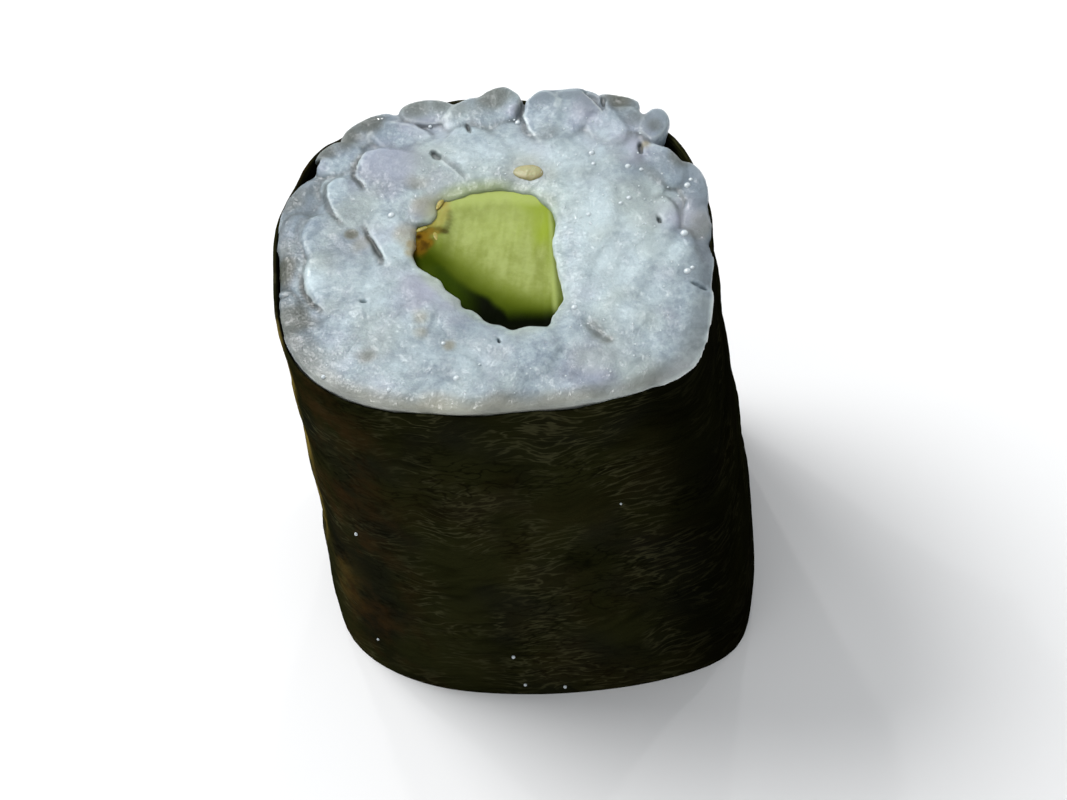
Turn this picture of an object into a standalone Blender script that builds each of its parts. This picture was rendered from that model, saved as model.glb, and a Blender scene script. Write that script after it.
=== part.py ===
"""One cut piece of cucumber maki: a stick of cucumber in a round-square log of packed rice, rolled in
one sheet of nori that laps over itself at the back. The piece stands on one cut face.

Metres, +Z up, +X to the right along the roll's wide side, -Y to the front. The origin is on the
ground under the middle of the piece."""

import math
import random

import bmesh
import bpy
from mathutils import Vector

MM = 0.001

# A half sheet of nori makes one roll, and the roll is cut into equal pieces.
ROLL_LENGTH = 190.0 * MM
PIECES_PER_ROLL = 6
PIECE_HEIGHT = ROLL_LENGTH / PIECES_PER_ROLL

# The nori's outline (x, y) in millimetres at the upper cut, pressed square by the rolling mat.
ROLL_OUTLINE = [
    (14.2, 0.5),
    (14.5, -5.0),
    (13.5, -9.9),
    (8.6, -12.4),
    (1.0, -13.6),
    (-6.5, -13.0),
    (-11.8, -9.6),
    (-14.1, -3.0),
    (-14.5, 3.5),
    (-11.9, 9.7),
    (-5.0, 12.7),
    (3.0, 13.2),
    (9.7, 11.2),
    (13.2, 6.0),
]
BASE_SPREAD = 0.06  # the piece settles: its foot is this share wider than its top
SPREAD_POWER = 1.15  # over 1 keeps the upper walls straighter than the foot
BULGE_ANGLE = math.radians(208.0)  # one corner of the foot swells a little more
BULGE_WIDTH = math.radians(26.0)
BULGE = 0.6 * MM
BULGE_STARTS, BULGE_FULL = 0.60, 0.85  # shares of the way down
DIMPLE_DEPTH = 0.14 * MM  # the sheet sinks in and out over the packed rice
DIMPLES_AROUND = 11
DIMPLES_UP = 3.5
DIMPLE_SLANT = 2.0

NORI_THICKNESS = 0.3 * MM
NORI_SHRINK = 0.75 * MM  # the moist sheet ends this far below the rice
NORI_EDGE_WAVE = 0.15 * MM
NORI_WAVES, NORI_RIPPLES = 3.0, 5.0  # round the edge
LAP_START = math.radians(96.0)  # where the sheet's inner edge lies, at the back
LAP_ANGLE = math.radians(36.0)  # how far the sheet runs on over itself
LAP_GAP = 0.1 * MM
LAP_RAMP = math.radians(18.0)  # the sheet climbs onto its own edge over this angle

CLEARANCE = 0.3 * MM  # between neighbouring pieces

RIM_OVERHANG = 0.5 * MM  # whole grains stand out over the nori's edge at the back by up to this
RIM_FLUSH = 0.15 * MM  # and at the front the pressed rice ends this far inside the nori's outer face
RIM_ROUNDING = 1.1 * MM
RIM_LOWEST = 0.35  # the least share of the rim's height that is left at its outer edge
GRAIN_LENGTH = 5.8 * MM
GRAIN_WIDTH = 2.7 * MM
GRAIN_RISE = 0.9 * MM  # from the creases between grains up to their backs
GRAIN_UNEVENNESS = 0.25  # how far one grain lies above or below the next, as a share of the rise
GRAIN_COUNT = 110
GRAIN_TRIES = 200
GRAIN_SEED = 5
GRAIN_CROWDING = 0.9  # the grains' distance shrinks to this share of itself at a time
HOLE_DIP = 0.35 * MM  # the rice sinks this much towards the cucumber
HOLE_DIP_STARTS = 0.75  # share of the way in from the rim

# The cucumber stick: its corners (x, y) and how round each is, in millimetres. The last side is skin.
STICK_CORNERS = [
    (-5.5, -0.6, 0.8),
    (-3.4, 4.6, 1.0),
    (0.4, 5.2, 1.2),
    (3.6, 3.8, 1.1),
    (5.15, -4.4, 1.2),
    (4.4, -6.8, 0.8),
    (1.8, -7.2, 0.6),
]
SKIN_BULGE = 0.6 * MM
STICK_BELOW_RICE = 0.7 * MM
STICK_EDGE_ROUNDING = 0.25 * MM

OUTLINE_STEPS = 12  # between two points of the roll's outline
COLUMNS = 96  # round the rice
SHEET_COLUMNS = 104
WALL_ROWS = 9
TOP_ROWS = 12
BASE_ROWS = 3
CORNER_STEPS = 5
SKIN_STEPS = 8

NORI_COLOUR = (0.016, 0.019, 0.009, 1.0)
RICE_COLOUR = (0.62, 0.66, 0.67, 1.0)
CUCUMBER_COLOUR = (0.36, 0.44, 0.14, 1.0)


def clear_scene():
    for old in list(bpy.data.objects):
        bpy.data.objects.remove(old, do_unlink=True)


def new_material(name, colour, roughness):
    material = bpy.data.materials.new(name)
    material.use_nodes = True
    shader = material.node_tree.nodes["Principled BSDF"]
    shader.inputs["Base Color"].default_value = colour
    shader.inputs["Roughness"].default_value = roughness
    shader.inputs["Metallic"].default_value = 0.0
    return material


def add_object(name, data, material, collection):
    data.materials.append(material)
    made = bpy.data.objects.new(name, data)
    collection.objects.link(made)
    return made


def smoothstep(x):
    x = min(1.0, max(0.0, x))
    return x * x * (3.0 - 2.0 * x)


def smooth_loop(points):
    """A closed Catmull-Rom curve through the points."""
    loop = []
    for i in range(len(points)):
        before, start, end, after = (points[(i + k) % len(points)] for k in (-1, 0, 1, 2))
        straight = end - before
        squared = 2.0 * before - 5.0 * start + 4.0 * end - after
        cubed = 3.0 * start - before - 3.0 * end + after
        for step in range(OUTLINE_STEPS):
            t = step / OUTLINE_STEPS
            loop.append(start + (straight * t + squared * t**2 + cubed * t**3) / 2.0)
    return loop


def cross(a, b):
    return a.x * b.y - a.y * b.x


def reach(loop, centre, angle):
    """How far a closed outline lies from the centre in one direction."""
    ray = Vector((math.cos(angle), math.sin(angle)))
    for start, end in zip(loop, loop[1:] + loop[:1]):
        side = end - start
        to_start = start - centre
        facing = cross(ray, side)
        if facing == 0.0:
            continue
        distance = cross(to_start, side) / facing
        along = cross(to_start, ray) / facing
        if distance > 0.0 and -1e-6 <= along <= 1.0 + 1e-6:
            return distance
    raise ValueError("the centre is not inside the outline")


MIDDLE = Vector((0.0, 0.0))
ROLL_LOOP = smooth_loop([Vector(point) * MM for point in ROLL_OUTLINE])


def roll_radius(angle, height):
    """How far the nori's outer face lies from the roll's middle at this height over the ground."""
    down = 1.0 - min(1.0, height / PIECE_HEIGHT)
    spread = 1.0 + BASE_SPREAD * down**SPREAD_POWER
    turned = (angle - BULGE_ANGLE + math.pi) % (2.0 * math.pi) - math.pi
    bulge = BULGE * math.exp(-((turned / BULGE_WIDTH) ** 2))
    bulge *= smoothstep((down - BULGE_STARTS) / (BULGE_FULL - BULGE_STARTS))
    dimple = math.sin(DIMPLES_AROUND * angle + DIMPLE_SLANT * math.pi * down)
    dimple *= DIMPLE_DEPTH * math.sin(2.0 * math.pi * DIMPLES_UP * down)
    return reach(ROLL_LOOP, MIDDLE, angle) * spread + bulge + dimple


def polar(centre, radius, angle, height):
    return Vector((centre.x + radius * math.cos(angle), centre.y + radius * math.sin(angle), height))


def stick_outline():
    """The cucumber's cross-section: straight cuts with rounded corners, and one curved side of skin."""
    corners = [Vector((x, y)) * MM for x, y, _ in STICK_CORNERS]
    outline = []
    for i, (_, _, rounding) in enumerate(STICK_CORNERS):
        corner = corners[i]
        start = corner + (corners[i - 1] - corner).normalized() * rounding * MM
        end = corner + (corners[(i + 1) % len(corners)] - corner).normalized() * rounding * MM
        for step in range(CORNER_STEPS + 1):
            t = step / CORNER_STEPS
            outline.append(start.lerp(corner, t).lerp(corner.lerp(end, t), t))
    skin_start, skin_end = outline[-1], outline[0]
    outward = (skin_end - skin_start).normalized().orthogonal()
    if outward.dot(skin_start + skin_end) < 0.0:
        outward.negate()
    for step in range(1, SKIN_STEPS):
        t = step / SKIN_STEPS
        outline.append(skin_start.lerp(skin_end, t) + outward * SKIN_BULGE * 4.0 * t * (1.0 - t))
    return outline


def scatter_grains():
    """Grains of rice lying in the cut face, as (place, direction, level). Each keeps its distance from
    those before it, and the distance shrinks until there is room for all."""
    chance = random.Random(GRAIN_SEED)
    grains = []
    spacing = GRAIN_WIDTH
    while len(grains) < GRAIN_COUNT:
        for _ in range(GRAIN_TRIES):
            angle = chance.uniform(0.0, 2.0 * math.pi)
            out = roll_radius(angle, PIECE_HEIGHT) * math.sqrt(chance.random())
            place = Vector((out * math.cos(angle), out * math.sin(angle)))
            if all((place - other).length > spacing for other, _, _ in grains):
                turn = chance.uniform(0.0, math.pi)
                level = chance.uniform(-GRAIN_UNEVENNESS, GRAIN_UNEVENNESS) * GRAIN_RISE
                grains.append((place, Vector((math.cos(turn), math.sin(turn))), level))
        spacing *= GRAIN_CROWDING
    return grains[:GRAIN_COUNT]


def grain_relief(grains, place):
    """Height of the grains' backs over the creases at this place."""
    height = 0.0
    for centre, direction, level in grains:
        offset = place - centre
        along = offset.dot(direction) / (GRAIN_LENGTH / 2.0)
        across = cross(offset, direction) / (GRAIN_WIDTH / 2.0)
        inside = 1.0 - along**2 - across**2
        if inside > 0.0:
            height = max(height, GRAIN_RISE * math.sqrt(inside) + level)
    return height


def make_nori(collection):
    """The sheet: a flat grid bent once round the rice and on over its own edge, then thickened
    outwards."""
    sheet = bmesh.new()
    bmesh.ops.create_grid(sheet, x_segments=SHEET_COLUMNS, y_segments=WALL_ROWS, size=1.0)
    for vertex in sheet.verts:
        travelled = (vertex.co.x + 1.0) / 2.0 * (2.0 * math.pi + LAP_ANGLE)
        up = (vertex.co.y + 1.0) / 2.0
        angle = LAP_START + travelled
        climb = smoothstep((travelled - 2.0 * math.pi + LAP_RAMP) / LAP_RAMP)
        wave = NORI_EDGE_WAVE * math.sin(NORI_WAVES * angle) * math.cos(NORI_RIPPLES * angle)
        height = up * (PIECE_HEIGHT - NORI_SHRINK) + wave * smoothstep(2.0 * up - 1.0)
        inner = roll_radius(angle, height) - NORI_THICKNESS
        vertex.co = polar(MIDDLE, inner + climb * (NORI_THICKNESS + LAP_GAP), angle, height)
    data = bpy.data.meshes.new("nori")
    sheet.to_mesh(data)
    sheet.free()
    nori = add_object("nori", data, new_material("nori", NORI_COLOUR, 0.55), collection)
    thickness = nori.modifiers.new("thickness", "SOLIDIFY")
    thickness.thickness = NORI_THICKNESS
    thickness.offset = 1.0
    return nori


def ring_loft(name, loops):
    """A closed ring-shaped solid through loops of equally many points. The last joins the first."""
    mesh = bmesh.new()
    rows = [[mesh.verts.new(point) for point in loop] for loop in loops]
    for row, above in zip(rows, rows[1:] + rows[:1]):
        for i in range(len(row)):
            mesh.faces.new((row[i - 1], row[i], above[i], above[i - 1]))
    bmesh.ops.recalc_face_normals(mesh, faces=mesh.faces)
    data = bpy.data.meshes.new(name)
    mesh.to_mesh(data)
    mesh.free()
    return data


def make_rice(collection, stick):
    """The rice: a loft that goes up its outer wall, over the rim, in across the grains of the cut
    face, down beside the cucumber and out along its flat foot."""
    angles = [2.0 * math.pi * i / COLUMNS for i in range(COLUMNS)]
    hole_centre = sum(stick, Vector((0.0, 0.0))) / len(stick)
    grains = scatter_grains()
    rim_height = PIECE_HEIGHT - NORI_SHRINK + NORI_EDGE_WAVE + CLEARANCE

    def wall_point(angle, height):
        inset = NORI_THICKNESS + CLEARANCE
        return polar(MIDDLE, roll_radius(angle, height) - inset, angle, height)

    def rim_point(angle, height):
        edge = roll_radius(angle, height)
        relief = grain_relief(grains, polar(MIDDLE, edge, angle, height).xy) / GRAIN_RISE
        backness = smoothstep(math.sin(angle) + 0.5)
        edge += (RIM_OVERHANG * relief + RIM_FLUSH) * backness - RIM_FLUSH
        return polar(MIDDLE, edge, angle, height)

    def hole_point(angle, height):
        radius = reach(stick, hole_centre, angle) + CLEARANCE
        return polar(hole_centre, radius, angle, height)

    def top_point(angle, share):
        rim = rim_point(angle, PIECE_HEIGHT)
        place = rim.lerp(hole_point(angle, PIECE_HEIGHT), share)
        relief = grain_relief(grains, place.xy) - GRAIN_RISE / 2.0
        from_rim = (place - rim).length / RIM_ROUNDING
        rounding = smoothstep(RIM_LOWEST + (1.0 - RIM_LOWEST) * from_rim)
        dip = HOLE_DIP * smoothstep((share - HOLE_DIP_STARTS) / (1.0 - HOLE_DIP_STARTS))
        place.z = rim_height + max(CLEARANCE, (PIECE_HEIGHT - rim_height + relief) * rounding - dip)
        return place

    loops = []
    for row in range(WALL_ROWS + 1):
        height = rim_height * row / WALL_ROWS
        loops.append([wall_point(angle, height) for angle in angles])
    loops.append([rim_point(angle, rim_height) for angle in angles])
    for row in range(TOP_ROWS + 1):
        loops.append([top_point(angle, row / TOP_ROWS) for angle in angles])
    for height in (PIECE_HEIGHT / 2.0, 0.0):
        loops.append([hole_point(angle, height) for angle in angles])
    for row in range(1, BASE_ROWS):
        outward = row / BASE_ROWS
        loops.append([hole_point(a, 0.0).lerp(wall_point(a, 0.0), outward) for a in angles])
    material = new_material("rice", RICE_COLOUR, 0.4)
    return add_object("rice", ring_loft("rice", loops), material, collection)


def make_cucumber(collection, stick):
    """The stick: its cross-section as a filled curve, extruded from the ground up to just below the
    rice, with its cut edges eased."""
    height = PIECE_HEIGHT - STICK_BELOW_RICE
    curve = bpy.data.curves.new("cucumber", "CURVE")
    curve.dimensions = "2D"
    curve.fill_mode = "BOTH"
    curve.extrude = height / 2.0 - STICK_EDGE_ROUNDING
    curve.bevel_depth = STICK_EDGE_ROUNDING
    curve.bevel_resolution = 1
    curve.offset = -STICK_EDGE_ROUNDING
    spline = curve.splines.new("POLY")
    spline.points.add(len(stick) - 1)
    for point, place in zip(spline.points, stick):
        point.co = (place.x, place.y, 0.0, 1.0)
    spline.use_cyclic_u = True
    material = new_material("cucumber", CUCUMBER_COLOUR, 0.3)
    cucumber = add_object("cucumber", curve, material, collection)
    cucumber.location.z = height / 2.0
    return cucumber


def main():
    clear_scene()
    collection = bpy.data.collections.new("cucumber_maki")
    bpy.context.scene.collection.children.link(collection)
    stick = stick_outline()
    make_nori(collection)
    make_rice(collection, stick)
    make_cucumber(collection, stick)


main()
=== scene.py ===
"""Looks of one piece of cucumber maki: fused grains of rice cut by the knife, a wrinkled moist sheet
of nori, a wet stick of cucumber and a few sesame seeds, on a pale floor in soft light.

Lengths are millimetres in the row frame, turned into metres in make_mesh and place_object."""

import math

import bpy
import numpy as np
import openvdb
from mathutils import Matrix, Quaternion, Vector
from mathutils.bvhtree import BVHTree


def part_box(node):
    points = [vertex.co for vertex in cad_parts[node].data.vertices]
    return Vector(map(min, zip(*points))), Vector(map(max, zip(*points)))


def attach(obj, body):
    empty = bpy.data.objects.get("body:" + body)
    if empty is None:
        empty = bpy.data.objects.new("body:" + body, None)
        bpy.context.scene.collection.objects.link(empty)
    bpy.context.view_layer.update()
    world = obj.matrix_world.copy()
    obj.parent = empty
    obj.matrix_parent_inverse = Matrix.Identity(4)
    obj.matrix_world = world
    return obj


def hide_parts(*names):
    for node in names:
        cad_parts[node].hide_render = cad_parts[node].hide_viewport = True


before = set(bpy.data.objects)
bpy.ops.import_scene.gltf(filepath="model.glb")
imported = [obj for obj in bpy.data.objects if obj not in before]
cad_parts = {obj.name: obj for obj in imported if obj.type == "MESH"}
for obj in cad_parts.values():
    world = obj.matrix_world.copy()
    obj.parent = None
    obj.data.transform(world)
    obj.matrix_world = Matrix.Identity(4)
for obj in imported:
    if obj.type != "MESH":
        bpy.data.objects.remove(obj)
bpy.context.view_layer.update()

MM = 0.001
FULL_TURN = 2 * math.pi

# The frame, in millimetres
NORI_LOW, NORI_HIGH = (np.array(corner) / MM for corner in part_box("nori"))
RICE_LOW, RICE_HIGH = (np.array(corner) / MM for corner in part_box("rice"))
STICK_LOW, STICK_HIGH = (np.array(corner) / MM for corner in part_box("cucumber"))
CUT_HEIGHT = 31.67  # the knife's plane: the roll's height over the ground
NORI_EDGE = NORI_HIGH[2] - 0.1  # the sheet ends a little below the cut
STICK_MIDDLE = (STICK_LOW + STICK_HIGH)[:2] / 2

# The sheet of nori, which laps over its own edge at the back
LAP_START = math.radians(96)
LAP_ANGLE = math.radians(36)
LAP_RAMP = math.radians(18)
LAP_STEP = 0.4  # how far the lapping layer stands out from the one below
SHEET_OUT = 0.3  # from the inside of the CAD's sheet to its outside
SHEET_THICKNESS = 0.2
RIM_LIGHT_ANGLE = 3.61  # the angle of the painted rim light down the sheet's left side
SHEET_RADIUS = 14.6  # on average, which turns an angle into a length along the sheet
SHEET_COLUMNS = 300
SHEET_ROWS = 150


# ---- numbers and noise


def ease(x):
    """0 below 0, 1 above 1 and smooth between them."""
    x = np.clip(x, 0, 1)
    return x * x * (3 - 2 * x)


def bell(x, width):
    return np.exp(-((x / width) ** 2))


def join(*parts):
    """Arrays side by side, such as x, y and z as points."""
    return np.stack(np.broadcast_arrays(*parts), axis=-1)


def turns(count):
    """Angles all round, evenly spaced."""
    return FULL_TURN * np.arange(count) / count


def smooth_max(a, b, width):
    """The larger of two fields, rounded where they cross."""
    mix = np.clip(0.5 + 0.5 * (a - b) / width, 0, 1)
    return b + (a - b) * mix + width * mix * (1 - mix)


def lattice(ix, iy, iz, seed):
    """One repeatable random number from -1 to 1 for each lattice point."""
    n = (ix * 73856093) ^ (iy * 19349663) ^ (iz * 83492791) ^ (seed * 1610612741)
    n = (n ^ (n >> 13)) * 1274126177 & 0xFFFFFFFF
    n = (n ^ (n >> 15)) * 2246822519 & 0xFFFFFFFF
    return ((n ^ (n >> 16)) & 0xFFFF) / 32767.5 - 1


def noise(x, y, z, cell, seed):
    """Smooth noise from -1 to 1 with bumps of about one cell."""
    x, y, z = np.broadcast_arrays(x / cell, y / cell, z / cell)
    ix, iy, iz = (np.floor(c).astype(np.int64) for c in (x, y, z))
    u, v, w = ((c - i) ** 2 * (3 - 2 * (c - i)) for c, i in ((x, ix), (y, iy), (z, iz)))
    total = np.zeros(x.shape)
    for dx, wx in ((0, 1 - u), (1, u)):
        for dy, wy in ((0, 1 - v), (1, v)):
            for dz, wz in ((0, 1 - w), (1, w)):
                total += lattice(ix + dx, iy + dy, iz + dz, seed) * wx * wy * wz
    return total


# ---- shapes read from the frame


class Wall:
    """How far a CAD surface lies from an upright axis, by angle and height, read by rays outwards."""

    def __init__(self, name, middle, heights, columns=360):
        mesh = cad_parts[name].data
        points = [tuple(v.co / MM) for v in mesh.vertices]
        tree = BVHTree.FromPolygons(points, [tuple(p.vertices) for p in mesh.polygons])
        self.heights = np.array(heights)
        self.columns = columns
        self.table = np.zeros((len(heights), columns))
        for row, column in np.ndindex(self.table.shape):
            angle = FULL_TURN * column / columns
            start = Vector((middle[0], middle[1], heights[row]))
            ray = Vector((math.cos(angle), math.sin(angle), 0))
            self.table[row, column] = tree.ray_cast(start, ray)[3]

    def radius(self, angle, height):
        """Straight-line reading between the table's rows and columns."""
        angle, height = np.broadcast_arrays(angle, height)
        column = np.mod(angle / FULL_TURN, 1) * self.columns
        row = np.interp(height, self.heights, np.arange(len(self.heights)))
        c0 = np.floor(column).astype(int) % self.columns
        c1 = (c0 + 1) % self.columns
        r0 = np.floor(row).astype(int)
        r1 = np.minimum(r0 + 1, len(self.heights) - 1)
        fc, fr = column - np.floor(column), row - r0
        low = self.table[r0, c0] * (1 - fc) + self.table[r0, c1] * fc
        high = self.table[r1, c0] * (1 - fc) + self.table[r1, c1] * fc
        return low * (1 - fr) + high * fr


sheet_inside = Wall("nori", (0, 0), np.linspace(0.3, NORI_HIGH[2] - 0.6, 32))
stick_side = Wall("cucumber", STICK_MIDDLE, [STICK_HIGH[2] / 2])


def from_rim(x, y):
    """How far a point of the cut lies inside the sheet's outside."""
    return sheet_inside.radius(np.arctan2(y, x), NORI_EDGE) + SHEET_OUT - np.hypot(x, y)


def stick_distance(x, y):
    dx, dy = x - STICK_MIDDLE[0], y - STICK_MIDDLE[1]
    return np.hypot(dx, dy) - stick_side.radius(np.arctan2(dy, dx), STICK_HIGH[2])


# ---- making pieces


def make_mesh(name, points, faces):
    mesh = bpy.data.meshes.new(name)
    mesh.from_pydata(np.asarray(points) * MM, [], faces)
    mesh.update()
    return mesh


def make_piece(name, points, faces, slot, material, **layers):
    """A smooth-shaded mesh piece that rides on the body and stands for its slot's CAD node, if there is
    one. Each layer holds three numbers a point, for the material to read by that name."""
    mesh = make_mesh(name, points, faces)
    for attribute, numbers in layers.items():
        layer = mesh.color_attributes.new(attribute, "FLOAT_COLOR", "POINT")
        values = np.ones((len(points), 4), np.float32)
        values[:, :3] = numbers
        layer.data.foreach_set("color", values.ravel())
    mesh.materials.append(material)
    mesh.shade_smooth()
    piece = bpy.data.objects.new(name, mesh)
    bpy.context.scene.collection.objects.link(piece)
    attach(piece, "root")
    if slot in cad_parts:
        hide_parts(slot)


# ---- rice

GRAIN_LENGTH = 5.4
GRAIN_WIDTH = 2.8
GRAIN_FLATNESS = 0.86
FUSE = 0.11  # how softly grains run into each other
CUT_SOFTNESS = 0.26  # how round the knife leaves a grain's edge
VOXEL_TOP = 0.15
VOXEL_FOOT = 0.22
CAP_DEPTH = 3.2  # of the two ends that show grains
PACKED_DEPTH = 2.4  # how deep below the cut the grains' middles may lie
CUT_SHARE = 0.45  # how far above a leading grain's middle the knife cuts it, as a share of its half
BED_DEPTH = 0.04  # between grains the cut face is smeared shut up to this far below the knife's plane
BED_WAVE = 0.045
LOOSE_DEPTH = 0.45  # how much lower the packing lies between the whole grains of the rim
SHINGLE = 0.16  # how steeply the whole grains of the rim lean up outwards
RIM_BED_INSET = 1.35  # at the back the grains of the rim stand free of the bed by this much


def backness(angle):
    return ease((np.sin(angle) + 0.35) / 0.8)


def rim_overhang(angle):
    """How far the rice ends beyond the inside of the sheet, above the sheet's edge."""
    right = ease((np.cos(angle) - 0.55) / 0.3) * (1 - backness(angle))
    return 0.15 + 1.2 * backness(angle) + 0.35 * right - 1.4 * bell(angle - 0.69, 0.08)


def wall_distance(x, y, z, top):
    """Signed distance to the rice's outer side: inside the sheet below its edge, and out over the
    edge above it, most at the back."""
    angle = np.arctan2(y, x)
    beyond = np.hypot(x, y) - (sheet_inside.radius(angle, z) - 0.03)
    return beyond - ease((z - NORI_EDGE + 0.1) / 0.35) * rim_overhang(angle) if top else beyond


def looseness(x, y):
    """1 at the left and back rim, where grains lie whole and apart, and 0 where they are mashed."""
    angle = np.arctan2(y, x)
    left = ease(-np.cos(angle) * 1.6 - 0.3) * ease((np.sin(angle) + 0.75) / 0.5)
    return ease(1.25 - from_rim(x, y) / 3.6) * np.maximum(backness(angle), left)


def cut_height(x, y):
    """The knife's cut through the rice: nearly flat, a little lower at the rim and the cucumber."""
    back = backness(np.arctan2(y, x))
    height = CUT_HEIGHT + 0.12 * noise(x, y, 0, 6, 11) + 0.03 * noise(x, y, 0, 2.6, 12)
    height = height - 0.35 * ease(1 - from_rim(x, y) / 1.4) * (1 - back)
    height = height - 0.15 * ease(1 - from_rim(x, y) / 1.2) * back
    behind = ease((y - 2) / 2)
    return height - (0.18 + 0.08 * behind) * ease(1 - stick_distance(x, y) / 1.5)


# Grains that stand out in the cut face: x, y, heading and tilt in degrees, length, width,
# how far the back stands over the cut, and how white.
LEADING_GRAINS = [
    # the left side, from the back to the front
    (-11.3, 7.8, 60, 72, 3.9, 3.5, 0, 0.15), (-10, 10.1, 40, 15, 3.6, 2.4, -0.08, 0.25),
    (-13.2, 3.4, 78, 3, 6.4, 2.9, -0.38, 0.1), (-10.1, 3.8, 118, 6, 5, 2.7, 0, 0.45),
    (-11.2, 0.5, 112, 0, 5.2, 3.5, -0.06, 0.6), (-10.3, -3.2, 116, 0, 6.4, 3.6, -0.06, 0.85),
    (-6.7, 0.5, 112, 3, 5.4, 2.9, 0.2, 0.75), (-7, 6.8, 160, 0, 6.6, 3.9, 0.1, 0.45),
    (-5.7, 3.6, 118, 0, 5, 2.6, 0.04, 0.55), (-4.7, 2.7, 112, 0, 3, 1.6, 0.06, 0.6),
    (-13.7, -1.6, 92, 0, 5.6, 2.4, -0.5, 0.05), (-12.7, -6, 108, 0, 5.4, 3, -0.26, 0.22),
    (-11.2, -9, 128, 0, 4.6, 2.8, -0.1, 0.35),
    # the back
    (-8.9, 10.7, 35, 15, 3.4, 2.4, -0.04, 0.3), (-5.7, 12.2, 0, 5, 4.2, 2.5, -0.06, 0.15),
    (-3.2, 11.9, 50, 10, 3.6, 2.4, 0.02, 0.45), (-7.2, 9.8, 165, 5, 5, 2.8, 0, 0.45),
    (-1, 12.2, 70, 50, 4.6, 3.8, 0.1, 0.3), (2.3, 11.3, 95, 12, 5, 3.2, 0.24, 0.2),
    (4, 11.1, 68, 8, 5, 3.2, 0.18, 0.05), (4.3, 12.7, -12, 8, 5, 2.3, 0.28, 0.15),
    (6.4, 10.6, 128, 3, 5, 3, 0.1, 0.5), (7, 12.8, -25, 25, 3.8, 2.4, -0.1, 0.05),
    (8.4, 10.6, 120, 5, 4, 2.4, -0.05, 0.3), (9.8, 10.5, 78, 25, 3.4, 2.4, 0.12, 0.2),
    # the right side
    (10.6, 7, 128, 3, 4.8, 2.8, 0.02, 0.42), (12.7, 5.4, 108, 5, 4.4, 2.2, -0.14, 0.1),
    (13.2, 1.9, 95, 0, 5, 2.2, -0.22, 0.12), (13.4, -1.6, 88, 0, 4, 2.4, -0.2, 0.12),
    (13.2, -5.2, 82, 6, 5, 3.4, 0.1, 0.42), (12.6, -9.2, 68, 5, 4.4, 3.2, 0.02, 0.38),
    (10.9, 1.6, 92, 0, 5.4, 2.6, 0, 0.6), (9.3, -1.8, 82, 0, 6.6, 3.4, 0.02, 0.88),
    (6.7, 2.2, 88, 0, 7.4, 3.7, 0.08, 0.86), (7, -4.4, 112, 0, 5.6, 3.4, 0.02, 0.82),
    (3.3, 7.4, 165, 0, 6.4, 3.8, 0.02, 0.74), (-1.6, 8.6, 140, 0, 5.6, 3.4, 0.05, 0.66),
    # the front
    (7.4, -10.2, 20, 75, 4.2, 3.8, 0.06, 0.1), (3.4, -8.9, 85, 10, 4.8, 3.8, 0.14, 0.55),
    (-3.6, -4.3, 140, 5, 4.4, 2.8, 0.08, 0.4), (-0.4, -7.2, 160, 5, 3.8, 2.4, 0.06, 0.3),
    (3.6, -12.4, 5, 0, 7.2, 1.9, -0.12, 0.1),
]

# Slits between grains: from x, y to x, y, width, depth, darkness of the painted shade in the slit
CREVICES = [
    (-4.9, 8.3, -4.3, 7.6, 0.36, 0.3, 0.8), (-2.9, 10.9, -2.5, 10, 0.24, 0.3, 0.9),
    (6.6, -6.2, 8.4, -7.9, 0.5, 0.08, 0.3), (-13.9, -4.1, -13, -3.9, 0.2, 0.4, 0.5),
    (0.7, 12.9, 0.9, 11.6, 0.34, 0.5, 0.3), (6.2, 13.2, 6.4, 12, 0.24, 0.4, 0.3),
    (9, 8.9, 9.2, 7.9, 0.24, 0.4, 0.6), (10.7, 2.3, 10.9, 1.8, 0.26, 0.4, 0.6),
    (-8, -4.9, -7.6, -4.9, 0.16, 0.25, 0.35), (1.2, -7.7, 1.4, -8.1, 0.22, 0.4, 0.4),
    (13.2, -3.2, 14.2, -3.6, 0.3, 0.3, 0.1), (-13.5, 6.5, -12.6, 7.6, 0.8, 2.2, 1),
]

# Stepped edges of grains that lie over their neighbours: the edge's corners, with the neighbour on the
# right hand; how far it lies below, how far out that reaches, how dark the painted shadow at its foot
# and how bright the painted highlight on its edge
LEDGES = [
    ([(-9.2, 8.7), (-9.75, 7.9), (-10, 7), (-9.85, 6.2), (-9.2, 5.2), (-9, 4.7)], 0.22, 0.6, 1, 0.6),
    ([(-11.2, 6.2), (-11.75, 5.6), (-11.6, 4.4), (-11.15, 3.3), (-10.5, 2.3), (-9.8, 1.6)],
     0.2, 0.55, 0.85, 0.35),
    ([(-11.3, 2.3), (-12, 2.75), (-12.8, 2.5), (-13.05, 1.6), (-12.9, 0.3), (-12.4, -1.3)],
     0.16, 0.6, 0.5, 0.25),
    ([(-12.4, -1.6), (-12.1, -2.9), (-11.65, -3.9), (-11, -4.9), (-10.3, -5.7)], 0.2, 0.5, 1.1, 0.5),
    ([(-8.8, 2), (-8.2, 0.9), (-7.75, 0), (-7.2, -0.9), (-6.8, -1.7)], 0.22, 0.5, 1.1, 0.7),
    ([(-2.1, 5.2), (-2.5, 5.9), (-3, 6.5), (-3.8, 7.1), (-4.5, 7.8), (-5, 8.4)], 0.14, 0.4, 0.6, 0.5),
    ([(1.7, 13.5), (0.9, 12.8), (0.7, 12), (0.9, 11), (1.4, 10), (2.2, 9)], 0.24, 0.5, 0.8, 0.9),
    ([(6.4, 11.4), (5.8, 12.6), (4.8, 13.5)], 0.2, 0.5, 0.45, 0.9),
]

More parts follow.
